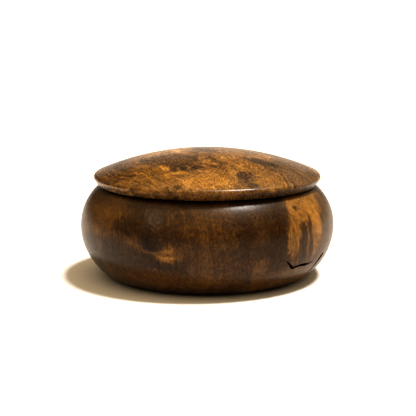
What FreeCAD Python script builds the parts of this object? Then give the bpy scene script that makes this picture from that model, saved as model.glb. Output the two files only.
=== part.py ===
"""Lidded turned-wood shaving bowl, modelled as a parametric FreeCAD document.

Millimetres, +Z up. The origin is the centre of the foot, on the surface that the bowl stands on, and
-Y is the front. Three pieces lie about the Z axis: the bowl, its lift-off lid and the cake of soap.
"""
import FreeCAD, Part
import math
import os

import Sketcher

SIZES = [
    # the bowl's outside
    ("belly_radius", 60.0, "widest radius of the bowl"),
    ("belly_height", 24.5, "height of the widest point"),
    ("belly_arc", 28.0, "profile radius below the widest point"),
    ("heel_arc", 14.3, "profile radius where the wall turns in to the foot"),
    ("shoulder_arc", 23.6, "profile radius above the widest point"),
    ("foot_radius", 42.5, "radius of the flat foot"),
    ("recess_radius", 34.0, "radius of the shallow recess inside the foot"),
    ("recess_depth", 1.2, "depth of that recess"),
    ("seat_height", 44.8, "height of the flat rim that the lid rests on"),
    ("rim_easing", 0.5, "radius of the sanded edges of the rim"),
    # the bowl's inside
    ("mouth_radius", 42.3, "radius of the straight mouth"),
    ("mouth_depth", 6.0, "depth of the straight mouth"),
    ("cavity_radius", 50.5, "widest radius of the hollow"),
    ("cavity_arc", 14.0, "profile radius of the hollow below the mouth"),
    ("floor_fillet", 9.5, "profile radius where the hollow meets its floor"),
    ("floor_height", 7.0, "height of the floor of the hollow"),
    # the drying crack low on the right of the belly
    ("crack_azimuth", 50.0, "degrees from the front round to the right"),
    ("crack_root", 51.8, "distance of the bottom of the crack from the axis"),
    ("crack_reach", 12.0, "length of the cut from its bottom outwards"),
    # the lid
    ("lid_radius", 53.6, "widest radius of the lid"),
    ("lid_edge_height", 46.9, "height of the lid's widest point"),
    ("lid_height", 59.7, "height of the top of the lid"),
    ("lid_edge_arc", 2.3, "profile radius above the widest point"),
    ("lip_radius", 51.7, "radius of the lid's lower lip"),
    ("lip_height", 43.9, "height of the lower lip, just below the seat"),
    ("undercut_radius", 50.0, "radius where the undercut behind the lip ends"),
    ("tenon_clearance", 0.25, "radial gap between the tenon and the mouth"),
    ("tenon_length", 4.0, "how far the tenon reaches into the mouth"),
    ("tenon_thickness", 5.2, "wall of the tenon ring"),
    ("lid_thickness", 6.7, "thickness of the lid's crown"),
    ("lid_fillet", 4.0, "profile radius at the edge of the lid's hollow"),
    # the soap
    ("soap_radius", 40.0, "radius of the cake"),
    ("soap_height", 20.0, "thickness of the cake at its rim"),
    ("soap_edge_arc", 3.0, "profile radius of its upper edge"),
    ("soap_dish", 1.6, "how far the brush has worn its middle down"),
]

# The middle lines of the crack's two arms, seen from outside: distance to the right of the crack's own
# azimuth, height above the foot, and width there. The first arm runs level, the second down to the heel.
LEVEL_ARM = [(-13.7, 16.2, 0.3), (-8.4, 12.1, 1.6), (-3.4, 12.7, 1.2), (1.4, 12.3, 1.2), (6.4, 12.9, 0.3)]
FALLING_ARM = [(16.3, 14.9, 0.4), (14.5, 13.6, 2.4), (12.3, 11.2, 2.2), (9.7, 8.0, 1.4), (8.5, 6.7, 0.3)]
ACROSS, UP = (1, 0), (0, 1)

doc = FreeCAD.newDocument("shaving_bowl")
sheet = doc.addObject("Spreadsheet::Sheet", "Sizes")
for row, (alias, value, note) in enumerate(SIZES, start=1):
    sheet.set(f"A{row}", note)
    sheet.set(f"B{row}", str(value))
    sheet.setAlias(f"B{row}", alias)
doc.recompute()
size = {alias: value for alias, value, note in SIZES}

START, END, CENTRE = 1, 2, 3  # which point of an edge a constraint names
ORIGIN = (-1, 1)  # the sketch's own origin point
UPRIGHT_AXIS = -2  # the sketch's own vertical axis


# ---------------------------------------------------------------- sketching helpers


def origin_feature(body, role):
    return next(f for f in body.Origin.OriginFeatures if f.Role == role)


def new_body(label):
    body = doc.addObject("PartDesign::Body", label)
    body.Label = label
    return body


def new_sketch(body, name, plane="XZ_Plane"):
    """A sketch on one of the body's base planes. On XZ its x is the radius and its y the height."""
    sketch = body.newObject("Sketcher::SketchObject", name)
    sketch.AttachmentSupport = [(origin_feature(body, plane), "")]
    sketch.MapMode = "FlatFace"
    return sketch


def line(sketch, start, end):
    return sketch.addGeometry(Part.LineSegment(FreeCAD.Vector(*start, 0), FreeCAD.Vector(*end, 0)), False)


def arc(sketch, centre, radius, start_point, end_point):
    """An arc drawn anticlockwise about centre, from the direction of one point to that of the other."""
    angles = [math.atan2(p[1] - centre[1], p[0] - centre[0]) for p in (start_point, end_point)]
    circle = Part.Circle(FreeCAD.Vector(*centre, 0), FreeCAD.Vector(0, 0, 1), radius)
    return sketch.addGeometry(Part.ArcOfCircle(circle, *angles), False)


def join(sketch, *ends):
    """Makes pairs of edge ends meet: join(sketch, (edge, END), (edge, START), ...)."""
    for first, second in zip(ends[::2], ends[1::2]):
        sketch.addConstraint(Sketcher.Constraint("Coincident", *first, *second))


def smooth(sketch, first, second):
    """Makes two edge ends meet with one tangent."""
    sketch.addConstraint(Sketcher.Constraint("Tangent", *first, *second))


def level(sketch, *edges):
    for edge in edges:
        sketch.addConstraint(Sketcher.Constraint("Horizontal", edge))


def upright(sketch, *edges):
    for edge in edges:
        sketch.addConstraint(Sketcher.Constraint("Vertical", edge))


def bind(sketch, kind, where, name, expression, value):
    """Adds a dimension and binds it to the sheet."""
    index = sketch.addConstraint(Sketcher.Constraint(kind, *where, value))
    sketch.renameConstraint(index, name)
    sketch.setExpression("Constraints." + name, expression)


def radius(sketch, edge, name, expression, value):
    bind(sketch, "Radius", (edge,), name, expression, value)


def place(sketch, point, name, across=None, up=None):
    """Dimensions a point from the sketch's origin; across and up are (expression, value) pairs."""
    if across:
        bind(sketch, "DistanceX", ORIGIN + point, name + "_x", *across)
    if up:
        bind(sketch, "DistanceY", ORIGIN + point, name + "_y", *up)


def cell(alias):
    """The expression and the value of one cell."""
    return "Sizes." + alias, size[alias]


def revolve(body, sketch, name, kind="PartDesign::Revolution"):
    feature = body.newObject(kind, name)
    feature.Profile = sketch
    feature.ReferenceAxis = (sketch, ["V_Axis"])
    feature.Angle = 360.0
    sketch.Visibility = False
    return feature


def hold_on_axis(sketch, *points):
    for point in points:
        sketch.addConstraint(Sketcher.Constraint("PointOnObject", *point, UPRIGHT_AXIS))


# ---------------------------------------------------------------- bowl


def heel_centre():
    """Centre of the heel arc, which starts at the foot's edge and is tangent inside the belly arc."""
    belly = FreeCAD.Vector(size["belly_radius"] - size["belly_arc"], size["belly_height"], 0)
    foot = FreeCAD.Vector(size["foot_radius"], 0, 0)
    gap = size["belly_arc"] - size["heel_arc"]
    span = (foot - belly).Length
    along = (gap**2 - size["heel_arc"] ** 2 + span**2) / (2 * span)
    aside = math.sqrt(gap**2 - along**2)
    forward = (foot - belly) / span
    centre = belly + forward * along + FreeCAD.Vector(-forward.y, forward.x, 0) * aside
    return centre.x, centre.y


def bowl_outline(body):
    sketch = new_sketch(body, "bowl_outline")
    belly = (size["belly_radius"] - size["belly_arc"], size["belly_height"])
    shoulder = (size["belly_radius"] - size["shoulder_arc"], size["belly_height"])
    heel = heel_centre()
    share = size["belly_arc"] / (size["belly_arc"] - size["heel_arc"])
    bend = tuple(b + (h - b) * share for b, h in zip(belly, heel))
    widest = (size["belly_radius"], size["belly_height"])
    rise = size["seat_height"] - size["belly_height"]
    rim = (shoulder[0] + math.sqrt(size["shoulder_arc"] ** 2 - rise**2), size["seat_height"])
    foot_edge = (size["foot_radius"], 0)

    foot = line(sketch, (0, 0), foot_edge)
    heel_arc = arc(sketch, heel, size["heel_arc"], foot_edge, bend)
    belly_arc = arc(sketch, belly, size["belly_arc"], bend, widest)
    shoulder_arc = arc(sketch, shoulder, size["shoulder_arc"], widest, rim)
    seat = line(sketch, rim, (0, size["seat_height"]))
    axis = line(sketch, (0, size["seat_height"]), (0, 0))

    join(sketch, (foot, END), (heel_arc, START), (shoulder_arc, END), (seat, START))
    join(sketch, (seat, END), (axis, START), (axis, END), (foot, START), (foot, START), ORIGIN)
    smooth(sketch, (heel_arc, END), (belly_arc, START))
    smooth(sketch, (belly_arc, END), (shoulder_arc, START))
    level(sketch, foot, seat)
    upright(sketch, axis)
    radius(sketch, heel_arc, "heel_arc", *cell("heel_arc"))
    radius(sketch, belly_arc, "belly_arc", *cell("belly_arc"))
    radius(sketch, shoulder_arc, "shoulder_arc", *cell("shoulder_arc"))
    place(sketch, (foot, END), "foot", across=cell("foot_radius"))
    place(sketch, (belly_arc, END), "widest", across=cell("belly_radius"), up=cell("belly_height"))
    place(sketch, (belly_arc, CENTRE), "belly_centre", up=cell("belly_height"))
    place(sketch, (seat, START), "seat", up=cell("seat_height"))
    return sketch


def bowl_hollow(body):
    """The hollow's outline: straight mouth, wide cavity, flat floor. It runs on above the seat."""
    sketch = new_sketch(body, "bowl_hollow")
    overrun = 2.0
    top = size["seat_height"] + overrun
    neck = size["seat_height"] - size["mouth_depth"]
    arc_x = size["cavity_radius"] - size["cavity_arc"]
    arc_y = neck - math.sqrt(size["cavity_arc"] ** 2 - (size["mouth_radius"] - arc_x) ** 2)
    corner_x = size["cavity_radius"] - size["floor_fillet"]
    corner_y = size["floor_height"] + size["floor_fillet"]
    wall_top, wall_foot = (size["cavity_radius"], arc_y), (size["cavity_radius"], corner_y)
    floor_edge = (corner_x, size["floor_height"])

    axis = line(sketch, (0, size["floor_height"]), (0, top))
    lid = line(sketch, (0, top), (size["mouth_radius"], top))
    mouth = line(sketch, (size["mouth_radius"], top), (size["mouth_radius"], neck))
    upper = arc(sketch, (arc_x, arc_y), size["cavity_arc"], wall_top, (size["mouth_radius"], neck))
    wall = line(sketch, wall_top, wall_foot)
    corner = arc(sketch, (corner_x, corner_y), size["floor_fillet"], floor_edge, wall_foot)
    floor = line(sketch, floor_edge, (0, size["floor_height"]))

    join(sketch, (axis, END), (lid, START), (lid, END), (mouth, START), (mouth, END), (upper, END))
    join(sketch, (floor, END), (axis, START))
    smooth(sketch, (upper, START), (wall, START))
    smooth(sketch, (wall, END), (corner, END))
    smooth(sketch, (corner, START), (floor, START))
    hold_on_axis(sketch, (axis, START))
    level(sketch, lid, floor)
    upright(sketch, axis, mouth, wall)
    radius(sketch, upper, "cavity_arc", *cell("cavity_arc"))
    radius(sketch, corner, "floor_fillet", *cell("floor_fillet"))
    place(sketch, (mouth, START), "mouth_top", across=cell("mouth_radius"))
    bind(sketch, "DistanceY", ORIGIN + (mouth, START), "top", f"Sizes.seat_height + {overrun}", top)
    bind(sketch, "DistanceY", ORIGIN + (mouth, END), "neck", "Sizes.seat_height - Sizes.mouth_depth", neck)
    place(sketch, (wall, START), "wall", across=cell("cavity_radius"))
    place(sketch, (floor, END), "floor", up=cell("floor_height"))
    return sketch


def foot_recess(body):
    sketch = new_sketch(body, "recess_outline", "XY_Plane")
    circle = Part.Circle(FreeCAD.Vector(), FreeCAD.Vector(0, 0, 1), size["recess_radius"])
    edge = sketch.addGeometry(circle, False)
    join(sketch, (edge, CENTRE), ORIGIN)
    radius(sketch, edge, "recess_radius", *cell("recess_radius"))
    pocket = body.newObject("PartDesign::Pocket", "foot_recess")
    pocket.Profile = sketch
    pocket.Reversed = True
    pocket.setExpression("Length", "Sizes.recess_depth")
    sketch.Visibility = False
    return pocket


def crack_outline(arm, side):
    """A thin closed polygon about the arm's middle line, which side says which way to widen."""
    there = [(x + side[0] * width / 2, y + side[1] * width / 2) for x, y, width in arm]
    back = [(x - side[0] * width / 2, y - side[1] * width / 2) for x, y, width in arm]
    return there + back[::-1]


def crack(body):
    """A narrow cut from inside the wall outwards, on an upright plane that faces the crack's azimuth."""
    sketch = new_sketch(body, "crack_outline")
    turn = math.radians(size["crack_azimuth"])
    offset = FreeCAD.Vector(math.sin(turn), 0, math.cos(turn)) * size["crack_root"]
    facing = FreeCAD.Rotation(FreeCAD.Vector(0, 1, 0), size["crack_azimuth"])
    sketch.AttachmentOffset = FreeCAD.Placement(offset, facing)
    for outline in (crack_outline(LEVEL_ARM, UP), crack_outline(FALLING_ARM, ACROSS)):
        edges = [line(sketch, a, b) for a, b in zip(outline, outline[1:] + outline[:1])]
        for edge, following in zip(edges, edges[1:] + edges[:1]):
            join(sketch, (edge, END), (following, START))
        for edge in edges:
            sketch.addConstraint(Sketcher.Constraint("Block", edge))
    pocket = body.newObject("PartDesign::Pocket", "crack")
    pocket.Profile = sketch
    pocket.Reversed = True
    pocket.setExpression("Length", "Sizes.crack_reach")
    sketch.Visibility = False
    return pocket


def circle_edges(shape, height, radii):
    """Names of the level circular edges at that height with one of those radii."""
    names = []
    for number, edge in enumerate(shape.Edges, start=1):
        if not isinstance(edge.Curve, Part.Circle):
            continue
        at_height = abs(edge.BoundBox.ZMin - height) < 1e-3 and abs(edge.BoundBox.ZMax - height) < 1e-3
        if at_height and any(abs(edge.Curve.Radius - r) < 1e-3 for r in radii):
            names.append(f"Edge{number}")
    return names


def cut_volume(body, feature):
    """Recomputes and returns the volume that the newest feature removed."""
    doc.recompute()
    return feature.BaseFeature.Shape.Volume - body.Shape.Volume


def make_bowl():
    body = new_body("bowl")
    revolve(body, bowl_outline(body), "turned_outside")
    doc.recompute()
    hollow = revolve(body, bowl_hollow(body), "turned_hollow", "PartDesign::Groove")
    cuts = {"hollow": cut_volume(body, hollow)}
    cuts["foot recess"] = cut_volume(body, foot_recess(body))
    rise = size["seat_height"] - size["belly_height"]
    rim_radius = size["belly_radius"] - size["shoulder_arc"] + math.sqrt(size["shoulder_arc"] ** 2 - rise**2)
    easing = body.newObject("PartDesign::Fillet", "eased_rim")
    names = circle_edges(body.Shape, size["seat_height"], (size["mouth_radius"], rim_radius))
    easing.Base = (body.getObject("foot_recess"), names)
    easing.setExpression("Radius", "Sizes.rim_easing")
    cuts["rim easing"] = cut_volume(body, easing)
    cuts["crack"] = cut_volume(body, crack(body))
    for name, volume in cuts.items():
        print(f"bowl: the {name} removes {volume:.1f} mm3")
        if volume <= 0:
            raise RuntimeError(f"the bowl's {name} cuts nothing")
    return body


# ---------------------------------------------------------------- lid


def make_lid():
    body = new_body("lid")
    sketch = new_sketch(body, "lid_outline")
    edge_centre = (size["lid_radius"] - size["lid_edge_arc"], size["lid_edge_height"])
    drop = size["lid_height"] - size["lid_edge_height"]
    reach = edge_centre[0] ** 2 + drop**2 - size["lid_edge_arc"] ** 2
    crown_arc = reach / (2 * (drop - size["lid_edge_arc"]))
    crown_centre = (0, size["lid_height"] - crown_arc)
    slope = math.atan2(edge_centre[0], edge_centre[1] - crown_centre[1])
    bend = (crown_arc * math.sin(slope), crown_centre[1] + crown_arc * math.cos(slope))
    apex, widest = (0, size["lid_height"]), (size["lid_radius"], size["lid_edge_height"])
    lip = (size["lip_radius"], size["lip_height"])
    seat_outer = (size["undercut_radius"], size["seat_height"])
    tenon_outer = size["mouth_radius"] - size["tenon_clearance"]
    tenon_inner = tenon_outer - size["tenon_thickness"]
    tenon_end = size["seat_height"] - size["tenon_length"]
    ceiling_arc = crown_arc - size["lid_thickness"]
    fillet_x = tenon_inner - size["lid_fillet"]
    fillet_y = crown_centre[1] + math.sqrt((ceiling_arc - size["lid_fillet"]) ** 2 - fillet_x**2)
    tilt = math.atan2(fillet_x, fillet_y - crown_centre[1])
    ceiling_end = (ceiling_arc * math.sin(tilt), crown_centre[1] + ceiling_arc * math.cos(tilt))
    ceiling_top = (0, crown_centre[1] + ceiling_arc)

    crown = arc(sketch, crown_centre, crown_arc, bend, apex)
    edge = arc(sketch, edge_centre, size["lid_edge_arc"], widest, bend)
    facet = line(sketch, widest, lip)
    undercut = line(sketch, lip, seat_outer)
    seat = line(sketch, seat_outer, (tenon_outer, size["seat_height"]))
    tenon = line(sketch, (tenon_outer, size["seat_height"]), (tenon_outer, tenon_end))
    end_face = line(sketch, (tenon_outer, tenon_end), (tenon_inner, tenon_end))
    hollow_wall = line(sketch, (tenon_inner, tenon_end), (tenon_inner, fillet_y))
    fillet = arc(sketch, (fillet_x, fillet_y), size["lid_fillet"], (tenon_inner, fillet_y), ceiling_end)
    ceiling = arc(sketch, crown_centre, ceiling_arc, ceiling_end, ceiling_top)
    axis = line(sketch, ceiling_top, apex)

    smooth(sketch, (edge, END), (crown, START))
    join(sketch, (edge, START), (facet, START), (facet, END), (undercut, START))
    join(sketch, (undercut, END), (seat, START), (seat, END), (tenon, START))
    join(sketch, (tenon, END), (end_face, START), (end_face, END), (hollow_wall, START))
    smooth(sketch, (hollow_wall, END), (fillet, START))
    smooth(sketch, (fillet, END), (ceiling, START))
    join(sketch, (ceiling, END), (axis, START), (axis, END), (crown, END))
    join(sketch, (crown, CENTRE), (ceiling, CENTRE))
    hold_on_axis(sketch, (axis, START), (axis, END), (crown, CENTRE))
    level(sketch, seat, end_face)
    upright(sketch, tenon, hollow_wall)
    radius(sketch, edge, "edge_arc", *cell("lid_edge_arc"))
    radius(sketch, fillet, "fillet", *cell("lid_fillet"))
    place(sketch, (axis, END), "apex", up=cell("lid_height"))
    place(sketch, (edge, START), "widest", across=cell("lid_radius"), up=cell("lid_edge_height"))
    place(sketch, (edge, CENTRE), "edge_centre", up=cell("lid_edge_height"))
    place(sketch, (facet, END), "lip", across=cell("lip_radius"), up=cell("lip_height"))
    place(sketch, (seat, START), "seat", across=cell("undercut_radius"), up=cell("seat_height"))
    outer = "Sizes.mouth_radius - Sizes.tenon_clearance"
    bind(sketch, "DistanceX", ORIGIN + (tenon, START), "tenon_outer", outer, tenon_outer)
    bind(sketch, "DistanceY", (end_face, START, tenon, START), "tenon_length", *cell("tenon_length"))
    bind(sketch, "DistanceX", (end_face, END, end_face, START), "tenon_wall", *cell("tenon_thickness"))
    bind(sketch, "DistanceY", (axis, START, axis, END), "thickness", *cell("lid_thickness"))
    revolve(body, sketch, "turned_lid")
    return body


# ---------------------------------------------------------------- soap


def make_soap():
    """The cake sits on the floor of the hollow. Its top is a shallow dish with a rounded rim."""
    body = new_body("soap_cake")
    sketch = new_sketch(body, "soap_outline")
    floor, rim = size["floor_height"], size["floor_height"] + size["soap_height"]
    edge_x = size["soap_radius"] - size["soap_edge_arc"]
    edge_y = rim - size["soap_edge_arc"]
    dish = (0, rim - size["soap_dish"])

    base = line(sketch, (0, floor), (size["soap_radius"], floor))
    side = line(sketch, (size["soap_radius"], floor), (size["soap_radius"], edge_y))
    edge = arc(sketch, (edge_x, edge_y), size["soap_edge_arc"], (size["soap_radius"], edge_y), (edge_x, rim))
    dish_arc = (edge_x**2 + size["soap_dish"] ** 2) / (2 * size["soap_dish"])
    hollow = arc(sketch, (0, dish[1] + dish_arc), dish_arc, dish, (edge_x, rim))
    axis = line(sketch, dish, (0, floor))

    join(sketch, (base, END), (side, START), (edge, END), (hollow, END))
    join(sketch, (hollow, START), (axis, START), (axis, END), (base, START))
    smooth(sketch, (side, END), (edge, START))
    hold_on_axis(sketch, (axis, START), (axis, END), (hollow, CENTRE))
    level(sketch, base)
    upright(sketch, side)
    radius(sketch, edge, "edge_arc", *cell("soap_edge_arc"))
    place(sketch, (base, END), "corner", across=cell("soap_radius"), up=cell("floor_height"))
    place(sketch, (edge, END), "rim_x", across=("Sizes.soap_radius - Sizes.soap_edge_arc", edge_x))
    bind(sketch, "DistanceY", ORIGIN + (edge, END), "rim", "Sizes.floor_height + Sizes.soap_height", rim)
    bind(sketch, "DistanceY", (axis, START, edge, END), "dish", *cell("soap_dish"))
    revolve(body, sketch, "pressed_cake")
    return body


# ---------------------------------------------------------------- build, check and write

pieces = [make_bowl(), make_lid(), make_soap()]
doc.recompute()
for item in doc.Objects:
    if {"Invalid", "Error"} & set(item.State):
        raise RuntimeError(f"{item.Label} failed: {item.State}")
    if item.isDerivedFrom("Sketcher::SketchObject") and not item.FullyConstrained:
        print(f"{item.Label} is not fully constrained")
for piece in pieces:
    if piece.Shape.isNull() or not piece.Shape.isValid() or len(piece.Shape.Solids) != 1:
        raise RuntimeError(f"{piece.Label} is not one valid solid")

os.makedirs("parts", exist_ok=True)
for piece in pieces:
    piece.Shape.exportStep(os.path.join("parts", piece.Label + ".step"))
    box = piece.Shape.BoundBox
    print(f"{piece.Label}: {piece.Shape.Volume / 1000:.1f} cm3, z {box.ZMin:.2f} to {box.ZMax:.2f}")
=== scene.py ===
"""A lidded shaving bowl turned from figured walnut, with its cake of soap inside.

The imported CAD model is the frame. The bowl, the lid and the soap are modelled again here as fine
meshes in the same places and sizes, and their wood is a solid texture that runs through each piece.
"""
import math

import bmesh
import bpy
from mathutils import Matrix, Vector, noise


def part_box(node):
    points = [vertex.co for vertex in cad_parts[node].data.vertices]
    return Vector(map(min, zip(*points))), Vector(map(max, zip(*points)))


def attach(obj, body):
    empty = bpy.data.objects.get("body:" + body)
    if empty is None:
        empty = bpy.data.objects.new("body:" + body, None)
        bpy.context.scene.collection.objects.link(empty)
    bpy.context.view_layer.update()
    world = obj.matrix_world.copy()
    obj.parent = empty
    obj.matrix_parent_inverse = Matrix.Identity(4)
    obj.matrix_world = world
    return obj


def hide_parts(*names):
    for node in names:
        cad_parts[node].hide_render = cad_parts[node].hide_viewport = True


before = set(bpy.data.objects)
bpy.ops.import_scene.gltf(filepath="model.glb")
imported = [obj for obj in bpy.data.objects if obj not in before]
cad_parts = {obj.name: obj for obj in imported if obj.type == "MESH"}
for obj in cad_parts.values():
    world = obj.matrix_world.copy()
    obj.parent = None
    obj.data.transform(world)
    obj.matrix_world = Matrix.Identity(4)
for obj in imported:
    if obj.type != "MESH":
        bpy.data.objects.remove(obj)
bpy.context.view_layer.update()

MM = 0.001
FRONT = -1.0  # the front of the bowl faces -Y

# ---------------------------------------------------------------- sizes, in millimetres

_, BOWL_HIGH = (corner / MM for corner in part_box("bowl"))
LID_LOW, LID_HIGH = (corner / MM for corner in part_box("lid"))
SOAP_LOW, SOAP_HIGH = (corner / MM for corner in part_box("soap_cake"))

BELLY_RADIUS = BOWL_HIGH.x
BELLY_HEIGHT = 24.5
BELLY_ARC = 28.0
HEEL_ARC = 14.3
SHOULDER_ARC = 23.6
FOOT_RADIUS = 42.5
RECESS_RADIUS = 34.0
RECESS_DEPTH = 1.2
RECESS_EASING = 0.6
FOOT_EASING = 0.3
SEAT_HEIGHT = BOWL_HIGH.z
MOUTH_RADIUS = 42.3
MOUTH_DEPTH = 6.0
CAVITY_RADIUS = 50.5
CAVITY_ARC = 14.0
FLOOR_FILLET = 9.5
FLOOR_HEIGHT = SOAP_LOW.z
RIM_EASING = 0.5

LID_RADIUS = LID_HIGH.x
LID_TOP = LID_HIGH.z
LID_EDGE_HEIGHT = 46.9
LID_EDGE_ARC = 2.3
ARRIS_EASING = 0.45
LIP_RADIUS = 51.7
LIP_HEIGHT = 43.9
LIP_EASING = 0.25
UNDERCUT_RADIUS = 50.0
TENON_RADIUS = 42.05
TENON_THICKNESS = 5.2
TENON_END = LID_LOW.z
TENON_EASING = 0.4
LID_THICKNESS = 6.7
LID_FILLET = 4.0

SOAP_RADIUS = SOAP_HIGH.x
SOAP_TOP = SOAP_HIGH.z
SOAP_EDGE_ARC = 3.0
SOAP_DISH = 1.6
SOAP_FOOT_EASING = 0.6

# How finely the profiles are drawn, and how far a straight stretch stops short of an eased corner.
FLAT_STEP = 3.0
CROWN_STEP = 1.0
CEILING_STEP = 2.5
DISH_STEP = 1.2
EDGE_STEP = 0.3
CORNER_MARGIN = 1.0
ARRIS_END = 10  # degrees above level, where the lid's eased arris gives way to the arc of its edge

# ---------------------------------------------------------------- profiles


def arc(centre, radius, start, end, step=0.7):
    """Points of an arc about centre, between two directions in degrees, about step apart."""
    count = max(3, round(abs(math.radians(end - start)) * radius / step))
    angles = [math.radians(start + (end - start) * k / count) for k in range(count + 1)]
    return [(centre[0] + radius * math.cos(a), centre[1] + radius * math.sin(a)) for a in angles]


def direction(centre, point):
    return math.degrees(math.atan2(point[1] - centre[1], point[0] - centre[0]))


def straight(start, end, step=1.2):
    """Points from start to end, without the end itself."""
    count = max(1, round(math.dist(start, end) / step))
    return [tuple(a + (b - a) * k / count for a, b in zip(start, end)) for k in range(count)]


def eased(before, corner, after, radius, count=5):
    """Replaces a sharp corner between two straight directions by a small arc."""
    corner_v = Vector(corner)
    to_before = (Vector(before) - corner_v).normalized()
    to_after = (Vector(after) - corner_v).normalized()
    half = to_before.angle(to_after) / 2
    reach = radius / math.tan(half)
    centre = corner_v + (to_before + to_after).normalized() * radius / math.sin(half)
    first, last = corner_v + to_before * reach, corner_v + to_after * reach
    points = []
    for k in range(count + 1):
        spoke = (first - centre).lerp(last - centre, k / count).normalized()
        points.append(tuple(centre + spoke * radius))
    return points


def chain(*stretches):
    """Joins stretches of points, leaving out repeated ones."""
    points = []
    for stretch in stretches:
        for point in stretch:
            if not points or math.dist(points[-1], point) > 1e-4:
                points.append(point)
    return points


def heel_centre():
    """Centre of the heel's arc, which starts at the foot's edge and is tangent inside the belly's."""
    belly = Vector((BELLY_RADIUS - BELLY_ARC, BELLY_HEIGHT))
    to_foot = Vector((FOOT_RADIUS, 0)) - belly
    gap = BELLY_ARC - HEEL_ARC
    along = (gap**2 - HEEL_ARC**2 + to_foot.length**2) / (2 * to_foot.length)
    aside = math.sqrt(gap**2 - along**2)
    forward = to_foot.normalized()
    centre = belly + forward * along + Vector((-forward.y, forward.x)) * aside
    return tuple(centre)


def bowl_profile():
    """From the middle of the foot out, up the wall, over the rim, and down the hollow to its middle."""
    belly = (BELLY_RADIUS - BELLY_ARC, BELLY_HEIGHT)
    shoulder = (BELLY_RADIUS - SHOULDER_ARC, BELLY_HEIGHT)
    heel = heel_centre()
    bend = direction(belly, heel)
    rise = math.degrees(math.asin((SEAT_HEIGHT - BELLY_HEIGHT) / SHOULDER_ARC))
    outer = arc(shoulder, SHOULDER_ARC, 0, rise)
    rim = outer.pop()
    mouth = (MOUTH_RADIUS, SEAT_HEIGHT)
    neck = (MOUTH_RADIUS, SEAT_HEIGHT - MOUTH_DEPTH)
    hollow_x = CAVITY_RADIUS - CAVITY_ARC
    hollow_y = neck[1] - math.sqrt(CAVITY_ARC**2 - (MOUTH_RADIUS - hollow_x) ** 2)
    corner = (CAVITY_RADIUS - FLOOR_FILLET, FLOOR_HEIGHT + FLOOR_FILLET)
    recess = (RECESS_RADIUS, RECESS_DEPTH)
    foot = (RECESS_RADIUS, 0)
    return chain(
        straight((0, RECESS_DEPTH), (RECESS_RADIUS - CORNER_MARGIN, RECESS_DEPTH), FLAT_STEP),
        eased((0, RECESS_DEPTH), recess, foot, RECESS_EASING),
        eased(recess, foot, (FOOT_RADIUS, 0), FOOT_EASING),
        straight((RECESS_RADIUS + CORNER_MARGIN, 0), (FOOT_RADIUS, 0)),
        arc(heel, HEEL_ARC, direction(heel, (FOOT_RADIUS, 0)), bend),
        arc(belly, BELLY_ARC, bend, 0),
        outer[:-1],
        eased(outer[-1], rim, mouth, RIM_EASING),
        straight((rim[0] - CORNER_MARGIN, SEAT_HEIGHT), (MOUTH_RADIUS + CORNER_MARGIN, SEAT_HEIGHT)),
        eased(rim, mouth, neck, RIM_EASING),
        straight((MOUTH_RADIUS, SEAT_HEIGHT - CORNER_MARGIN), neck),
        arc((hollow_x, hollow_y), CAVITY_ARC, direction((hollow_x, hollow_y), neck), 0),
        straight((CAVITY_RADIUS, hollow_y), (CAVITY_RADIUS, corner[1])),
        arc(corner, FLOOR_FILLET, 0, -90),
        straight((corner[0], FLOOR_HEIGHT), (0, FLOOR_HEIGHT), FLAT_STEP),
        [(0, FLOOR_HEIGHT)],
    )


def lid_profile():
    """From the middle of the hollow out, down round the tenon, along the seat, and over to the top."""
    edge = (LID_RADIUS - LID_EDGE_ARC, LID_EDGE_HEIGHT)
    drop = LID_TOP - LID_EDGE_HEIGHT
    crown_arc = (edge[0] ** 2 + drop**2 - LID_EDGE_ARC**2) / (2 * (drop - LID_EDGE_ARC))
    crown = (0, LID_TOP - crown_arc)
    bend = direction(crown, edge)
    ceiling_arc = crown_arc - LID_THICKNESS
    inner = TENON_RADIUS - TENON_THICKNESS
    fillet_x = inner - LID_FILLET
    fillet = (fillet_x, crown[1] + math.sqrt((ceiling_arc - LID_FILLET) ** 2 - fillet_x**2))
    ceiling_end = direction(crown, fillet)
    tenon_in, tenon_out = (inner, TENON_END), (TENON_RADIUS, TENON_END)
    root = (TENON_RADIUS, SEAT_HEIGHT)
    undercut = (UNDERCUT_RADIUS, SEAT_HEIGHT)
    lip = (LIP_RADIUS, LIP_HEIGHT)
    arris = (LID_RADIUS, LID_EDGE_HEIGHT)
    above_arris = (LID_RADIUS, LID_EDGE_HEIGHT + CORNER_MARGIN)
    return chain(
        arc(crown, ceiling_arc, 90, ceiling_end, CEILING_STEP),
        arc(fillet, LID_FILLET, ceiling_end, 0),
        straight((inner, fillet[1]), (inner, TENON_END + CORNER_MARGIN)),
        eased((inner, fillet[1]), tenon_in, tenon_out, TENON_EASING),
        eased(tenon_in, tenon_out, root, TENON_EASING),
        straight((TENON_RADIUS, TENON_END + CORNER_MARGIN), root),
        straight(root, undercut),
        [undercut],
        eased(undercut, lip, arris, LIP_EASING),
        eased(lip, arris, above_arris, ARRIS_EASING),
        arc(edge, LID_EDGE_ARC, ARRIS_END, bend, EDGE_STEP),
        arc(crown, crown_arc, bend, 90, CROWN_STEP),
    )


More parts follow.
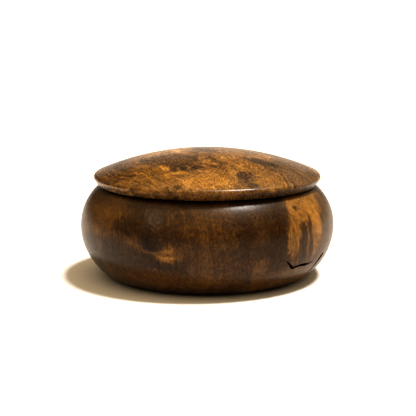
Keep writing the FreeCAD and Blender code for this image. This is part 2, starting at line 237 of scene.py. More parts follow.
def soap_profile():
    """From the middle of the base out, up the side, and in over the worn dish."""
    edge = (SOAP_RADIUS - SOAP_EDGE_ARC, SOAP_TOP - SOAP_EDGE_ARC)
    dish_arc = (edge[0] ** 2 + SOAP_DISH**2) / (2 * SOAP_DISH)
    dish = (0, SOAP_TOP - SOAP_DISH + dish_arc)
    middle, foot, shoulder = (0, FLOOR_HEIGHT), (SOAP_RADIUS, FLOOR_HEIGHT), (SOAP_RADIUS, SOAP_TOP)
    return chain(
        straight(middle, (SOAP_RADIUS - CORNER_MARGIN, FLOOR_HEIGHT), FLAT_STEP),
        eased(middle, foot, shoulder, SOAP_FOOT_EASING),
        straight((SOAP_RADIUS, FLOOR_HEIGHT + CORNER_MARGIN), (SOAP_RADIUS, edge[1])),
        arc(edge, SOAP_EDGE_ARC, 0, 90),
        arc(dish, dish_arc, direction(dish, (edge[0], SOAP_TOP)), -90, DISH_STEP),
    )


# ---------------------------------------------------------------- meshes


def new_object(name, data):
    """Makes an object and puts it in the scene."""
    item = bpy.data.objects.new(name, data)
    bpy.context.scene.collection.objects.link(item)
    return item


def lathe(name, profile, turns=288):
    """Turns a profile about Z. It starts and ends on the axis, so the mesh is closed."""
    body = profile[1:-1]
    verts = [(0, 0, profile[0][1] * MM)]
    for radius, height in body:
        for k in range(turns):
            angle = 2 * math.pi * k / turns
            verts.append((radius * MM * math.cos(angle), radius * MM * math.sin(angle), height * MM))
    verts.append((0, 0, profile[-1][1] * MM))
    faces = []
    last_ring = 1 + (len(body) - 1) * turns
    for k in range(turns):
        following = (k + 1) % turns
        faces.append((0, 1 + following, 1 + k))
        faces.append((len(verts) - 1, last_ring + k, last_ring + following))
        for ring in range(len(body) - 1):
            low = 1 + ring * turns
            high = low + turns
            faces.append((low + k, low + following, high + following, high + k))
    mesh = bpy.data.meshes.new(name)
    mesh.from_pydata(verts, [], faces)
    mesh.validate()
    for polygon in mesh.polygons:
        polygon.use_smooth = True
    return new_object(name, mesh)


SWELLING_SIZE = 17.0  # roughly from one swelling of the wall to the next
FADE_ABOVE_FOOT = 4.0
FADE_BELOW_SEAT = 3.0


def held(value):
    """The value, held between 0 and 1."""
    return min(1.0, max(0.0, value))


def settle(piece, amount, below, above):
    """Moves the wall in and out by a few hundredths of a millimetre, as wood does while it dries.
    Nothing moves outside the two heights, and the movement fades towards them."""
    for vertex in piece.data.vertices:
        height = vertex.co.z / MM
        fade = held((height - below) / FADE_ABOVE_FOOT) * held((above - height) / FADE_BELOW_SEAT)
        outward = Vector((vertex.co.x, vertex.co.y, 0))
        if outward.length == 0 or fade == 0:
            continue
        push = noise.noise(vertex.co / MM / SWELLING_SIZE) * amount * fade
        vertex.co += outward.normalized() * push * MM


# The crack low on the front right: degrees from the front round to the right, height and width.
LEVEL_CRACK = [(36.5, 16.2, 0.3), (38.8, 14.2, 0.9), (41.6, 12.1, 1.45), (43.6, 12.4, 1.1),
               (46.6, 12.7, 1.2), (49.8, 12.4, 1.4), (53.0, 12.2, 1.0), (56.4, 12.9, 0.25)]
FALLING_CRACK = [(66.2, 14.9, 0.4), (65.2, 14.3, 2.6), (63.8, 12.9, 2.8), (62.5, 11.2, 2.3),
                 (61.4, 9.5, 1.9), (60.0, 7.7, 1.5), (58.2, 5.8, 0.3)]
CRACK_DEPTH = 3.2
CRACK_ROOT = 0.12
CRACK_STEP = 0.45
CRACK_FULL_DEPTH_WIDTH = 0.6  # where it is narrower than this, it is shallower too
CRACK_FLARE = 1.3  # how much wider the cutter is, a millimetre outside the wall
LIP_UNEVENNESS = 0.35  # of half the width
LIP_PACE = 0.9
LIP_SEEDS = (3.1, 7.7)
WANDER = 0.12
WANDER_PACE = 0.7
WANDER_SEED = 5.3
CRACK_LOWEST = 3.0  # no part of the crack is lower
CRACK_SPAN = (30, 76)  # degrees that hold the whole crack
SKIN_TOLERANCE = 0.15  # the wall's own unevenness doesn't count as depth
SKIN_FACING = 0.9  # a face that looks outwards at least this squarely is part of the wall's skin


def wall_point(azimuth, height):
    """The point of the bowl's lower wall there, and the outward direction."""
    belly = (BELLY_RADIUS - BELLY_ARC, BELLY_HEIGHT)
    heel = heel_centre()
    share = BELLY_ARC / (BELLY_ARC - HEEL_ARC)
    bend_height = belly[1] + (heel[1] - belly[1]) * share
    centre, radius = (belly, BELLY_ARC) if height > bend_height else (heel, HEEL_ARC)
    rise = (height - centre[1]) / radius
    out = math.sqrt(1 - rise * rise)
    around = math.radians(azimuth)
    across = Vector((math.sin(around), FRONT * math.cos(around), 0))
    normal = across * out + Vector((0, 0, rise))
    return across * centre[0] + Vector((0, 0, centre[1])) + normal * radius, normal


def crack_cutter(name, arm):
    """A thin wedge along the arm, widest at the surface, with a little unevenness in its two lips."""
    stations = []
    for here, there in zip(arm, arm[1:]):
        start, _ = wall_point(here[0], here[1])
        end, _ = wall_point(there[0], there[1])
        count = max(1, round((end - start).length / CRACK_STEP))
        for k in range(count):
            stations.append([a + (b - a) * k / count for a, b in zip(here, there)])
    stations.append(list(arm[-1]))
    points = [wall_point(azimuth, height) for azimuth, height, _ in stations]
    verts = []
    for k, (point, normal) in enumerate(points):
        before, after = points[max(k - 1, 0)][0], points[min(k + 1, len(points) - 1)][0]
        side = normal.cross(after - before).normalized()
        width = stations[k][2]
        depth = CRACK_DEPTH * min(1.0, width / CRACK_FULL_DEPTH_WIDTH)
        swings = [noise.noise(Vector((k * LIP_PACE, seed, 0))) for seed in LIP_SEEDS]
        lips = [width / 2 * (1 + LIP_UNEVENNESS * swing) for swing in swings]
        wander = side * WANDER * noise.noise(Vector((k * WANDER_PACE, 0, WANDER_SEED)))
        verts.append(point + normal + side * lips[0] * CRACK_FLARE + wander)
        verts.append(point + normal - side * lips[1] * CRACK_FLARE + wander)
        verts.append(point - normal * depth - side * CRACK_ROOT / 2 + wander)
        verts.append(point - normal * depth + side * CRACK_ROOT / 2 + wander)
    faces = [(3, 2, 1, 0), tuple(len(verts) - 4 + k for k in range(4))]
    for station in range(len(points) - 1):
        low = station * 4
        for k in range(4):
            following = (k + 1) % 4
            faces.append((low + k, low + following, low + 4 + following, low + 4 + k))
    mesh = bpy.data.meshes.new(name)
    mesh.from_pydata([v * MM for v in verts], [], faces)
    face_outwards(mesh)
    return new_object(name, mesh)


def face_outwards(mesh):
    """Makes every face look outwards."""
    shell = bmesh.new()
    shell.from_mesh(mesh)
    bmesh.ops.recalc_face_normals(shell, faces=shell.faces)
    shell.to_mesh(mesh)
    shell.free()


def cut(piece, cutters):
    """Cuts the cutters out of the piece, keeps the result as its mesh and removes the cutters."""
    for cutter in cutters:
        modifier = piece.modifiers.new(cutter.name, "BOOLEAN")
        modifier.operation = "DIFFERENCE"
        modifier.solver = "EXACT"
        modifier.object = cutter
    depsgraph = bpy.context.evaluated_depsgraph_get()
    mesh = bpy.data.meshes.new_from_object(piece.evaluated_get(depsgraph))
    piece.modifiers.clear()
    piece.data = mesh
    for cutter in cutters:
        bpy.data.objects.remove(cutter)


def azimuth_of(place):
    """Degrees from the front round to the right."""
    return math.degrees(math.atan2(place.x, FRONT * place.y))


def shade_wall(piece):
    """Keeps the wall's own smooth normals on the faces beside the crack, and flat ones inside it.
    The attribute crack_depth is how far inside the wall's skin a point of the crack lies."""
    mesh = piece.data
    normals = [corner.vector.copy() for corner in mesh.corner_normals]
    inside = mesh.attributes.new("crack_depth", "FLOAT", "POINT")
    for vertex in mesh.vertices:
        radius = math.hypot(vertex.co.x, vertex.co.y) / MM
        height = vertex.co.z / MM
        if CRACK_LOWEST < height < BELLY_HEIGHT and radius > CAVITY_RADIUS:
            skin, normal = wall_point(azimuth_of(vertex.co), height)
            depth = (skin - vertex.co / MM).dot(normal)
            inside.data[vertex.index].value = max(0.0, depth - SKIN_TOLERANCE)
    for polygon in mesh.polygons:
        centre = polygon.center
        height = centre.z / MM
        radius = math.hypot(centre.x, centre.y) / MM
        if not CRACK_LOWEST < height < BELLY_HEIGHT or radius < CAVITY_RADIUS:
            continue
        azimuth = azimuth_of(centre)
        if not CRACK_SPAN[0] < azimuth < CRACK_SPAN[1]:
            continue
        skin, normal = wall_point(azimuth, height)
        on_skin = polygon.normal.dot(normal) > SKIN_FACING
        for loop in polygon.loop_indices:
            if on_skin:
                corner = mesh.vertices[mesh.loops[loop].vertex_index].co
                normals[loop] = wall_point(azimuth_of(corner), corner.z / MM)[1]
            else:
                normals[loop] = polygon.normal.copy()
    mesh.normals_split_custom_set(normals)


# ---------------------------------------------------------------- shader building


class Shader:
    """A material's node tree. Each call adds nodes and returns the socket that carries the result."""

    def __init__(self, name):
        self.material = bpy.data.materials.new(name)
        self.material.use_nodes = True
        self.tree = self.material.node_tree
        self.tree.nodes.clear()

    def feed(self, socket, value):
        """Links a socket to another one, or sets it to a constant."""
        if isinstance(value, bpy.types.NodeSocket):
            self.tree.links.new(value, socket)
        else:
            socket.default_value = value

    def node(self, kind, inputs=None, **settings):
        node = self.tree.nodes.new(kind)
        for name, value in settings.items():
            setattr(node, name, value)
        for name, value in (inputs or {}).items():
            self.feed(node.inputs[name], value)
        return node

    def math(self, operation, *values, clamp=False):
        node = self.node("ShaderNodeMath", operation=operation, use_clamp=clamp)
        for socket, value in zip(node.inputs, values):
            self.feed(socket, value)
        return node.outputs[0]

    def vector(self, operation, *values):
        node = self.node("ShaderNodeVectorMath", operation=operation)
        for socket, value in zip(node.inputs, values):
            self.feed(socket, value)
        return node.outputs["Value"] if operation in ("LENGTH", "DOT_PRODUCT") else node.outputs[0]

    def stretch(self, place, sizes, rotation=(0, 0, 0), centre=(0, 0, 0)):
        """Coordinates about centre in units of sizes, turned by rotation."""
        inputs = {"Vector": place, "Location": centre, "Rotation": rotation, "Scale": sizes}
        return self.node("ShaderNodeMapping", inputs, vector_type="TEXTURE").outputs[0]

    def noise(self, place, detail=2.0, roughness=0.5, colour=False):
        inputs = {"Vector": place, "Scale": 1.0, "Detail": detail, "Roughness": roughness}
        node = self.node("ShaderNodeTexNoise", inputs)
        return node.outputs["Color" if colour else 0]

    def layers(self, along, detail=3.0, roughness=0.6):
        """Noise that changes only along one coordinate, like growth layers."""
        inputs = {"W": along, "Scale": 1.0, "Detail": detail, "Roughness": roughness}
        return self.node("ShaderNodeTexNoise", inputs, noise_dimensions="1D").outputs[0]

    def remap(self, value, low, high, to_low=0.0, to_high=1.0):
        inputs = {"Value": value, "From Min": low, "From Max": high, "To Min": to_low, "To Max": to_high}
        return self.node("ShaderNodeMapRange", inputs, interpolation_type="SMOOTHSTEP").outputs[0]

    def mix(self, factor, first, second):
        node = self.node("ShaderNodeMix", data_type="FLOAT")
        for socket, value in zip((node.inputs[0], node.inputs[2], node.inputs[3]), (factor, first, second)):
            self.feed(socket, value)
        return node.outputs[0]

    def mix_colour(self, factor, first, second, kind="MIX"):
        node = self.node("ShaderNodeMix", data_type="RGBA", blend_type=kind)
        for socket, value in zip((node.inputs[0], node.inputs[6], node.inputs[7]), (factor, first, second)):
            self.feed(socket, value)
        return node.outputs[2]

    def ramp(self, value, stops):
        """Colours from stops of position and colour, in rising order."""
        node = self.node("ShaderNodeValToRGB", {"Fac": value})
        elements = node.color_ramp.elements
        for position, _ in stops[1:-1]:
            elements.new(position)
        for element, (position, colour) in zip(elements, stops):
            element.position = position
            element.color = (*colour, 1)
        return node.outputs[0]

    def millimetres(self):
        """The place on the piece, in its own millimetres."""
        place = self.vector("SCALE", self.node("ShaderNodeTexCoord").outputs["Object"])
        place.node.inputs["Scale"].default_value = 1 / MM
        return place

    def finish(self, surface):
        output = self.node("ShaderNodeOutputMaterial")
        self.tree.links.new(surface.outputs[0], output.inputs["Surface"])
        return self.material


# ---------------------------------------------------------------- wood

# Oiled walnut from its darkest streaks to its palest sapwood, and the same wood where it is greyer.
WARM_WOOD = [(0.0, (0.004, 0.0018, 0.0008)), (0.2, (0.020, 0.0088, 0.0022)), (0.4, (0.056, 0.0245, 0.0052)),
             (0.6, (0.130, 0.060, 0.0105)), (0.8, (0.265, 0.124, 0.022)), (1.0, (0.46, 0.245, 0.062))]
GREY_WOOD = [(0.0, (0.005, 0.0035, 0.0028)), (0.2, (0.022, 0.0145, 0.0095)), (0.4, (0.052, 0.034, 0.0215)),
             (0.6, (0.115, 0.072, 0.042)), (0.8, (0.225, 0.145, 0.085)), (1.0, (0.36, 0.26, 0.17))]

# The inside of the crack is painted nearly black: painted shade in the narrow recess.
CRACK_PAINTED_SHADE = (0.004, 0.002, 0.001, 1)
CRACK_DARKENING = 0.3  # how far into the crack the wood turns fully dark

# Sizes of the wood's figure: one number across the layers, or two across the fibre and one along it.
BAND = 6.0
LINE = 1.5
THREAD = (0.8, 0.8, 5.0)
RIPPLE = (5.0, 5.0, 1.6)
MOTTLE = (0.8, 0.8, 3.2)
PORE = (0.3, 0.3, 2.4)
PATCH = (17.0, 17.0, 30.0)
PATCH_CONTRAST = 1.0
PORE_EDGE = (0.60, 0.70)  # noise below this is wood, and above it a pore
PORE_DARKENING = 0.12
PORE_ROUGHNESS = 0.15
THREAD_ROUGHNESS = 0.15
SMALL_ZONE = 3.3  # a zone less than this across keeps a clean edge, because fraying would scatter it


def wood(name, grain, fibre, base_tone, base_grey, zones, knots, contrast, painted_shade, polish):
    """Figured walnut as a solid texture, in the piece's own millimetres.

    grain is the direction across the growth layers and fibre the direction along them. Each zone is
    (centre, rotation, half sizes, softness, tone, greyness) and paints over the ones before it. Each
    knot is (centre, half sizes, how far it pushes the growth layers aside). contrast is how strong
    the bands, lines, threads, ripple and mottle are. painted_shade darkens the colour where shade
    falls round the seat, under the lid's arris and in the gap between lid and bowl: it is painted
    shade, given as the height where it begins, the height where it is darkest, and what is left of
    the colour there. polish is the roughness between the pores and how strongly the oil shines.
    """
    s = Shader(name)
    place = s.millimetres()
    turn = Vector((0, 0, 1)).rotation_difference(Vector(fibre)).to_euler()

    def shifted(by, size, amount):
        """Moves places about in all directions, a little differently every size millimetres."""
        wobble = s.noise(s.stretch(by, (size, size, size)), detail=1.0, colour=True)
        offset = s.vector("SCALE", s.vector("SUBTRACT", wobble, (0.5, 0.5, 0.5)))
        offset.node.inputs["Scale"].default_value = amount
        return s.vector("ADD", by, offset)

    def streaked(by, width, length, amount):
        """Slides along the fibre by an amount that changes quickly across it, which frays the edges."""
        slide = s.noise(s.stretch(by, (width, width, length), turn), detail=2.0)
        offset = s.vector("SCALE", tuple(Vector(fibre).normalized()))
        s.feed(offset.node.inputs["Scale"], s.math("MULTIPLY", s.math("SUBTRACT", slide, 0.5), amount))
        return s.vector("ADD", by, offset)

    broad = shifted(place, size=24.0, amount=16.0)
    curly = shifted(broad, size=9.0, amount=3.5)
    near = shifted(shifted(place, size=7.0, amount=3.0), size=1.8, amount=1.4)
    edges = streaked(near, width=0.9, length=14.0, amount=11.0)

    for centre, sizes, push in knots:
        uneven = shifted(place, size=5.0, amount=4.0)
        reach = s.vector("LENGTH", s.stretch(uneven, sizes, centre=centre))
        swell = s.math("EXPONENT", s.math("MULTIPLY", s.math("POWER", reach, 2.0), -1.0))
        aside = s.vector("SCALE", tuple(Vector(grain).normalized() * push))
        s.feed(aside.node.inputs["Scale"], swell)
        curly = s.vector("ADD", curly, aside)
    across = s.vector("DOT_PRODUCT", curly, grain)
    bands = s.layers(s.math("MULTIPLY", across, 1 / BAND), detail=2.0)
    lines = s.layers(s.math("MULTIPLY", across, 1 / LINE), detail=3.0, roughness=0.7)

    threads = s.noise(s.stretch(curly, THREAD, turn), detail=3.0, roughness=0.65)
    ripple = s.noise(s.stretch(broad, RIPPLE, turn), detail=2.0)
    crinkled = shifted(curly, size=3.0, amount=2.4)
    mottle = s.noise(s.stretch(crinkled, MOTTLE, turn), detail=3.0, roughness=0.65)
    pores = s.noise(s.stretch(curly, PORE, turn), detail=1.0)
    pore = s.remap(pores, *PORE_EDGE)

    patches = s.noise(s.stretch(edges, PATCH, turn), detail=1.0)
    tone = s.math("MULTIPLY_ADD", s.math("SUBTRACT", patches, 0.5), PATCH_CONTRAST, base_tone)
    grey = base_grey
    for centre, rotation, sizes, softness, zone_tone, zone_grey in zones:
        domain = near if min(sizes) < SMALL_ZONE else edges
        reach = s.vector("LENGTH", s.stretch(domain, sizes, rotation, centre))
        mask = s.remap(reach, 1 - softness, 1 + softness, 1.0, 0.0)
        tone = s.mix(mask, tone, zone_tone)
        grey = s.mix(mask, grey, zone_grey)

    for part, weight in zip((bands, lines, threads, ripple, mottle), contrast):
        swing = s.math("MULTIPLY", s.math("SUBTRACT", part, 0.5), weight)
        tone = s.math("ADD", tone, swing)
    tone = s.math("SUBTRACT", tone, s.math("MULTIPLY", pore, PORE_DARKENING), clamp=True)
    colour = s.mix_colour(grey, s.ramp(tone, WARM_WOOD), s.ramp(tone, GREY_WOOD))

    height = s.node("ShaderNodeSeparateXYZ", {"Vector": place}).outputs["Z"]
    # Painted shade: the colour darkens towards the seat, where shade falls between lid and bowl.
    shade_start, shade_deepest, colour_left = painted_shade
    dark = s.remap(height, shade_start, shade_deepest, 1.0, colour_left)
    colour = s.mix_colour(1.0, colour, dark, "MULTIPLY")
    # Painted shade: the wood inside the crack turns nearly black with depth.
    depth = s.node("ShaderNodeAttribute", attribute_name="crack_depth").outputs["Fac"]
    colour = s.mix_colour(s.remap(depth, 0.0, CRACK_DARKENING), colour, CRACK_PAINTED_SHADE)

    relief = s.math("MULTIPLY_ADD", pore, -0.5, s.math("MULTIPLY", threads, 0.5))
    relief = s.math("MULTIPLY_ADD", mottle, 0.5, relief)
    bump = s.node("ShaderNodeBump", {"Height": relief, "Strength": 0.25, "Distance": 0.0002})
    smoothest, shine = polish
    roughness = s.math("MULTIPLY_ADD", pore, PORE_ROUGHNESS, smoothest)
    roughness = s.math("MULTIPLY_ADD", threads, THREAD_ROUGHNESS, roughness)
    surface = s.node("ShaderNodeBsdfPrincipled", {
        "Base Color": colour, "Roughness": roughness, "Normal": bump.outputs[0],
        "IOR": 1.45, "Specular IOR Level": shine})
    return s.finish(surface)


# How far out or up a zone's middle lies, and how deep into the wood it reaches to each side of that.
WALL_ZONE_RADIUS = 55.0
WALL_ZONE_DEPTH = 14.0
LID_ZONE_HEIGHT = 54.0
LID_ZONE_DEPTH = 16.0
FACET_ZONE_DEPTH = 8.0
FACET_SOFTNESS = 0.4
KNOT_DEPTH = 14.0


def round_axis(azimuth, radius, height):
    """A point by degrees from the front round to the right, and millimetres."""
    around = math.radians(azimuth)
    return radius * math.sin(around), FRONT * radius * math.cos(around), height


def on_bowl(azimuth, height, half_width, half_height, softness, tone, grey=0.0, lean=0.0):
    """A zone on the bowl's wall, leaning by so many degrees."""
    rotation = (0, math.radians(lean), math.radians(azimuth))
    sizes = (half_width, WALL_ZONE_DEPTH, half_height)
    return round_axis(azimuth, WALL_ZONE_RADIUS, height), rotation, sizes, softness, tone, grey


def on_lid(x, y, half_x, half_y, softness, tone, grey=0.0, turn=0.0):
    """A zone on the lid, seen from above."""
    sizes = (half_x, half_y, LID_ZONE_DEPTH)
    return (x, y, LID_ZONE_HEIGHT), (0, 0, math.radians(turn)), sizes, softness, tone, grey


def on_facet(azimuth, half_width, tone, grey=0.0, height=45.4, half_height=1.7):
    """A zone on the lid's sloping facet, under its arris, where shade and highlights are painted."""
    rotation = (0, 0, math.radians(azimuth))
    sizes = (half_width, FACET_ZONE_DEPTH, half_height)
    return round_axis(azimuth, LID_RADIUS, height), rotation, sizes, FACET_SOFTNESS, tone, grey


def bowl_knot(azimuth, height, half_width, half_height, push):
    sizes = (half_width, KNOT_DEPTH, half_height)
    return round_axis(azimuth, WALL_ZONE_RADIUS, height), sizes, push


def lid_knot(x, y, half_x, half_y, push):
    return (x, y, LID_ZONE_HEIGHT), (half_x, half_y, KNOT_DEPTH), push


BOWL_ZONES = [
    # the left of the front, from the broad patches to the small ones
    on_bowl(-62, 34, 26, 12, 0.35, 0.48),
    on_bowl(-75, 33, 8, 12, 0.5, 0.46),
    on_bowl(-50, 33, 10, 8, 0.5, 0.53),
    on_bowl(-55, 19, 22, 5.5, 0.4, 0.40, 0.75),
    on_bowl(-42, 17, 14, 5.5, 0.5, 0.34, 0.5),
    on_bowl(-37, 31.5, 8, 3.5, 0.4, 0.31, 0.1),
    on_bowl(-33, 24.6, 5.5, 1.5, 0.5, 0.52, 0.1, 22),
    on_bowl(-19, 33, 8, 8, 0.4, 0.36, 0.3),
    on_bowl(-24, 36, 4.6, 4.2, 0.5, 0.42, 0.95),
    # the pale flame left of the middle, and the wood under it
    on_bowl(-15.5, 21.6, 7.6, 3.8, 0.6, 0.62, 0.1, -6),
    on_bowl(-16.5, 21.0, 5.6, 2.4, 0.55, 0.86, 0.15, -6),
    on_bowl(-22, 21.6, 9.0, 0.9, 0.6, 0.58, 0.2, 6),
    on_bowl(-10, 22.4, 5.0, 2.2, 0.6, 0.52, 0.1, -12),
    on_bowl(-18, 15, 4.5, 1.3, 0.5, 0.26, 0.2),
    on_bowl(-3, 15.0, 6, 2.2, 0.5, 0.48, 0.5),
    on_bowl(-25, 8, 34, 5.0, 0.5, 0.46, 0.15),
    # the plain middle, which darkens towards the right
    on_bowl(0, 30, 13, 12, 0.6, 0.44, 0.1),
    on_bowl(17, 16, 16, 9, 0.6, 0.42, 0.3),
    on_bowl(22, 31, 14, 11, 0.5, 0.33, 0.15),
    on_bowl(31, 29, 4.6, 13, 0.5, 0.27, 0.05),
    # the pale block on the right, and the dark streaks through it
    on_bowl(39.8, 25.5, 3.7, 9.5, 0.2, 0.68, 0.15),
    on_bowl(42, 33, 3.4, 8, 0.25, 0.66, 0.1),
    on_bowl(47, 39, 6.5, 8, 0.2, 0.69, 0.05),
    on_bowl(56.2, 32, 5.0, 14, 0.25, 0.75),
    on_bowl(54, 21, 1.6, 7, 0.3, 0.70, 0.1),
    on_bowl(56, 42, 16, 5, 0.3, 0.68),
    on_bowl(66, 40, 7, 6, 0.4, 0.64),
    on_bowl(67, 26, 6, 8, 0.4, 0.42, 0.4),
    on_bowl(70, 30, 6, 11, 0.4, 0.38, 0.2),
    on_bowl(46.2, 23, 2.0, 9, 0.4, 0.32, 0.2),
    on_bowl(49.2, 24, 0.8, 9, 0.5, 0.62, 0.2),
    on_bowl(51.4, 25, 0.9, 9, 0.4, 0.40, 0.2),
    on_bowl(44, 38.5, 1.3, 1.1, 0.4, 0.36, 0.3),
    # low on the right, round the crack
    on_bowl(24, 14.5, 3.4, 4.4, 0.6, 0.56, 0.4, 8),
    on_bowl(46, 9, 15, 3.2, 0.5, 0.54, 0.5),
    # a pale grey line along the falling crack's lip: painted highlight
    on_bowl(61.8, 12.0, 0.8, 5.2, 0.4, 0.68, 0.9, 32),
    on_bowl(36, 5.5, 20, 2.5, 0.5, 0.42),
    # the right side, the back and the left side
    on_bowl(100, 26, 15, 14, 0.5, 0.42, 0.1),
    on_bowl(117, 33, 6, 10, 0.3, 0.66),
    on_bowl(126, 22, 4, 10, 0.3, 0.60),
    on_bowl(140, 28, 8, 14, 0.4, 0.30, 0.1),
    on_bowl(163, 31, 12, 9, 0.4, 0.54),
    on_bowl(173, 34, 4.4, 4, 0.5, 0.34, 0.9),
    on_bowl(188, 19, 15, 6, 0.4, 0.38, 0.6),
    on_bowl(204, 33, 9, 9, 0.3, 0.62),
    on_bowl(213, 20, 4, 8, 0.3, 0.58),
    on_bowl(226, 27, 6, 14, 0.4, 0.30),
    on_bowl(246, 30, 12, 11, 0.5, 0.50, 0.1),
    on_bowl(264, 20, 8, 8, 0.5, 0.36, 0.3),
]
BOWL_KNOTS = [bowl_knot(-24, 36, 7, 7, 13), bowl_knot(44, 38.5, 3.5, 3, 6), bowl_knot(-30, 12, 9, 5, 7),
              bowl_knot(173, 34, 7, 6, 12), bowl_knot(212, 14, 6, 5, 8)]
LID_ZONES = [
    # the front half, from the broad patches to the small ones
    on_lid(-28, -36, 20, 13, 0.4, 0.57),
    on_lid(-44, -24, 10, 14, 0.5, 0.46),
    on_lid(-33, -17, 10, 4.5, 0.5, 0.42, 0.5),
    on_lid(-30, -14, 24, 6, 0.5, 0.50, 0.5),
    on_lid(11, -12, 7, 14, 0.5, 0.70, 0.2),
    on_lid(8, -34, 12, 9, 0.5, 0.68, 0.1),
    on_lid(0, -46, 15, 6.5, 0.4, 0.74),
    on_lid(40, -22, 14, 17, 0.4, 0.54, 0.5),
    on_lid(26, -36, 9, 8, 0.5, 0.64, 0.15),
    on_lid(25, -18, 7.5, 4.5, 0.5, 0.38, 0.6),
    on_lid(28.5, -19.5, 3.6, 2.4, 0.5, 0.32, 0.4),
    on_lid(-15, -20, 13, 5.5, 0.5, 0.51, 0.5),
    on_lid(-14, -26, 7, 4, 0.5, 0.44, 0.3),
    # the knot in front and the wood that bends round it
    on_lid(-9.5, -32, 7.4, 4.0, 0.25, 0.33, 0.2),
    on_lid(-10.5, -32, 3.4, 3.0, 0.25, 0.58, 0.3),
    on_lid(-10.5, -32.2, 2.0, 1.9, 0.3, 0.18, 0.2),
    on_lid(-19.5, -29, 1.4, 4.5, 0.4, 0.78, 0.0, 30),
    on_lid(-13, -37, 5, 1.2, 0.4, 0.74, 0.0, -10),
    on_lid(4.5, -31, 6, 1.5, 0.5, 0.48, 0.1, -25),
    on_lid(5, -26, 1.6, 8, 0.4, 0.46, 0.2, 25),
    on_lid(10, -29, 1.6, 7, 0.5, 0.58, 0.2, 35),
    # the dark patch to the right of it
    on_lid(17.2, -39.0, 4.0, 4.6, 0.45, 0.32, 0.3, -30),
    on_lid(15.0, -44.0, 2.6, 3.0, 0.5, 0.44, 0.3),
    on_lid(19.5, -45.8, 2.6, 2.0, 0.5, 0.38, 0.6),
    # the facet, lighter on the left and darker on the right: painted light and shade; and its two pale
    # edges on the left: painted highlights along the arris and the lip
    on_facet(-45, 26, 0.56, 0.2),
    on_facet(-60, 30, 0.84, 0.3, 46.9, 0.5),
    on_facet(-50, 28, 0.86, 0.3, 44.2, 0.5),
    on_facet(42, 22, 0.40, 0.3),
    # spots near the edge
    on_lid(-35, -31, 3, 1.6, 0.5, 0.42),
    on_lid(-13.2, -49.7, 2.0, 1.4, 0.5, 0.34),
    on_lid(-33, -42, 3.5, 1.2, 0.5, 0.46),
    on_lid(48.5, -15, 3.0, 9, 0.5, 0.42, 0.3),
    # the back half
    on_lid(-20, 12, 15, 9, 0.4, 0.72, 0.05),
    on_lid(-2, 24, 9, 5, 0.4, 0.46, 0.5),
    on_lid(17, 31, 16, 8, 0.4, 0.74),
    on_lid(-30, 30, 10, 6, 0.4, 0.50, 0.2),
    on_lid(31, 12, 8, 11, 0.4, 0.50, 0.3),
    on_lid(-6, 43, 13, 5, 0.4, 0.70),
    on_lid(-4, 26, 2.4, 2.0, 0.3, 0.24, 0.3),
]
LID_KNOTS = [lid_knot(-10.5, -32, 6, 5, 12), lid_knot(17, -42, 5, 8, 6), lid_knot(-4, 26, 7, 6, 11)]


# ---------------------------------------------------------------- soap


SOAP_COLOURS = [(0.3, (0.72, 0.66, 0.50)), (0.5, (0.80, 0.75, 0.62)), (0.7, (0.86, 0.82, 0.72))]
SOAP_CLOUD = (9, 9, 9)
SOAP_GRAIN = (0.5, 0.5, 0.5)
ACROSS_ONLY = (1, 1, 1000)  # so long upwards that only the distance from the axis counts
BRUSH_RING = 1.1


def soap_material():
    """Clouded hard soap, with the fine rings that a brush leaves as it goes round."""
    s = Shader("soap")
    place = s.millimetres()
    cloud = s.noise(s.stretch(place, SOAP_CLOUD), detail=4.0)
    grain = s.noise(s.stretch(place, SOAP_GRAIN), detail=2.0)
    colour = s.ramp(cloud, SOAP_COLOURS)
    from_axis = s.vector("LENGTH", s.stretch(place, ACROSS_ONLY))
    rings = s.layers(s.math("MULTIPLY", from_axis, 1 / BRUSH_RING), detail=3.0)
    height = s.math("MULTIPLY_ADD", grain, 0.4, rings)
    bump = s.node("ShaderNodeBump", {"Height": height, "Strength": 0.25, "Distance": 0.0004})
    surface = s.node("ShaderNodeBsdfPrincipled", {
        "Base Color": colour, "Roughness": s.remap(cloud, 0.2, 0.8, 0.38, 0.55),
        "Normal": bump.outputs[0], "Subsurface Weight": 0.2, "Subsurface Scale": 0.002})
    return s.finish(surface)


# ---------------------------------------------------------------- pieces


def dress(piece, material, body, node):
    """Gives the piece its material and tells the frame what it rides on and replaces."""
    piece.data.materials.clear()
    piece.data.materials.append(material)
    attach(piece, body)
    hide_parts(node)


bowl = lathe("turned_bowl", bowl_profile())
settle(bowl, amount=0.10, below=2.0, above=SEAT_HEIGHT - 1)
cut(bowl, [crack_cutter("level_crack", LEVEL_CRACK), crack_cutter("falling_crack", FALLING_CRACK)])
shade_wall(bowl)
# The bowl's colour darkens from 41.3 mm up to the seat: painted shade for the gap under the lid.
bowl_wood = wood("bowl_walnut", grain=(0.92, 0.38, 0.10), fibre=(0.05, 0.0, 1.0),
                 base_tone=0.36, base_grey=0.15, zones=BOWL_ZONES, knots=BOWL_KNOTS,
                 contrast=(0.22, 0.16, 0.30, 0.24, 0.52), painted_shade=(41.3, 43.6, 0.16), polish=(0.22, 0.26))
dress(bowl, bowl_wood, "bowl_body", "bowl")

lid = lathe("turned_lid", lid_profile())
# The lid's colour darkens from 47.0 mm down over its facet and underside: painted shade under the arris.
lid_wood = wood("lid_walnut", grain=(0.80, 0.55, 0.25), fibre=(-0.35, 1.0, 0.1),
                base_tone=0.62, base_grey=0.2, zones=LID_ZONES, knots=LID_KNOTS,
                contrast=(0.34, 0.32, 0.52, 0.34, 0.95), painted_shade=(47.0, 43.2, 0.3), polish=(0.20, 0.31))
dress(lid, lid_wood, "lid_body", "lid")

soap = lathe("worn_soap", soap_profile(), turns=160)
dress(soap, soap_material(), "bowl_body", "soap_cake")


# ---------------------------------------------------------------- stage


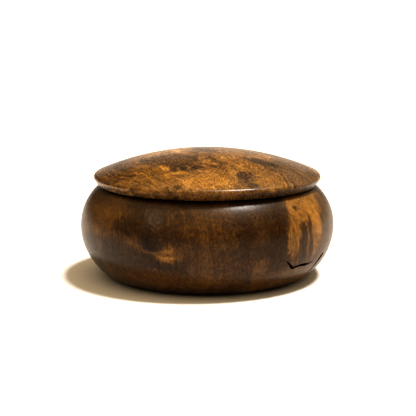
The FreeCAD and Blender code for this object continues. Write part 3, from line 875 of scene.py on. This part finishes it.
def floor():
    size = 20.0
    corners = [(-size, -size, 0), (size, -size, 0), (size, size, 0), (-size, size, 0)]
    mesh = bpy.data.meshes.new("floor")
    mesh.from_pydata(corners, [], [(0, 1, 2, 3)])
    plane = new_object("floor", mesh)
    s = Shader("pale_floor")
    surface = s.node("ShaderNodeBsdfPrincipled", {
        "Base Color": (0.66, 0.63, 0.60, 1), "Roughness": 0.9, "Specular IOR Level": 0.1})
    mesh.materials.append(s.finish(surface))


# Where the room is brighter: the direction, the degrees over which it fades, and how bright it is there.
WARM_LIGHTS = [((0.0, -0.12, 1.0), 72, 1.05), ((-1.0, 0.1, 0.35), 60, 0.35), ((1.0, 0.6, 0.3), 50, 0.6),
               ((0.1, -1.0, 0.45), 50, 0.12)]
WHITE_LIGHTS = [((0.0, 1.0, 0.0), 24, 0.7)]
ROOM_GLOOM = 0.04
WARM_COLOUR = (1.0, 0.81, 0.54, 1)
WHITE_COLOUR = (1.0, 0.98, 0.92, 1)
BACKDROP_STRENGTH = 1.2


def key_light():
    """A large soft light high overhead, a little to the right."""
    light = bpy.data.lights.new("key", "SUN")
    light.energy = 4.1
    light.angle = math.radians(10)
    light.color = (1.0, 0.98, 0.95)
    lamp = new_object("key", light)
    towards = Vector((0.325, 0.0, 1.0))
    lamp.rotation_euler = towards.to_track_quat("Z", "Y").to_euler()


def surroundings():
    """White to the camera. To the object it is a dim warm room with soft light in a few directions."""
    world = bpy.data.worlds.new("studio")
    world.use_nodes = True
    nodes, links = world.node_tree.nodes, world.node_tree.links
    nodes.clear()
    place = nodes.new("ShaderNodeTexCoord")

    def glow(room_lights, gloom, colour):
        """A background that is brighter in each light's direction."""
        total = None
        for towards, spread, strength in room_lights:
            facing = nodes.new("ShaderNodeVectorMath")
            facing.operation = "DOT_PRODUCT"
            links.new(place.outputs["Generated"], facing.inputs[0])
            facing.inputs[1].default_value = Vector(towards).normalized()
            ramp = nodes.new("ShaderNodeMapRange")
            ramp.interpolation_type = "SMOOTHSTEP"
            ramp.inputs["From Min"].default_value = math.cos(math.radians(spread))
            ramp.inputs["To Max"].default_value = strength
            links.new(facing.outputs["Value"], ramp.inputs["Value"])
            add = nodes.new("ShaderNodeMath")
            links.new(ramp.outputs[0], add.inputs[0])
            add.inputs[1].default_value = gloom
            if total is not None:
                links.new(total, add.inputs[1])
            total = add.outputs[0]
        room = nodes.new("ShaderNodeBackground")
        room.inputs["Color"].default_value = colour
        links.new(total, room.inputs["Strength"])
        return room.outputs[0]

    both = nodes.new("ShaderNodeAddShader")
    links.new(glow(WARM_LIGHTS, ROOM_GLOOM, WARM_COLOUR), both.inputs[0])
    links.new(glow(WHITE_LIGHTS, 0.0, WHITE_COLOUR), both.inputs[1])
    white = nodes.new("ShaderNodeBackground")
    white.inputs["Color"].default_value = (1, 1, 1, 1)
    white.inputs["Strength"].default_value = BACKDROP_STRENGTH
    path = nodes.new("ShaderNodeLightPath")
    choose = nodes.new("ShaderNodeMixShader")
    links.new(path.outputs["Is Camera Ray"], choose.inputs[0])
    links.new(both.outputs[0], choose.inputs[1])
    links.new(white.outputs[0], choose.inputs[2])
    output = nodes.new("ShaderNodeOutputWorld")
    links.new(choose.outputs[0], output.inputs["Surface"])
    bpy.context.scene.world = world


def camera():
    """Standing back 0.57 m and looking down at ten degrees."""
    distance = 0.5715
    elevation = math.radians(10.44)
    aim_height = 0.03136
    aside = 0.00038
    data = bpy.data.cameras.new("camera")
    data.sensor_width = 36.0
    data.lens = 103.85
    view = new_object("camera", data)
    view.location = (aside, FRONT * distance * math.cos(elevation),
                     aim_height + distance * math.sin(elevation))
    view.rotation_euler = (math.pi / 2 - elevation, 0, 0)
    bpy.context.scene.camera = view


floor()
key_light()
surroundings()
camera()
bpy.context.scene.view_settings.view_transform = "Standard"
bpy.context.scene.view_settings.look = "High Contrast"
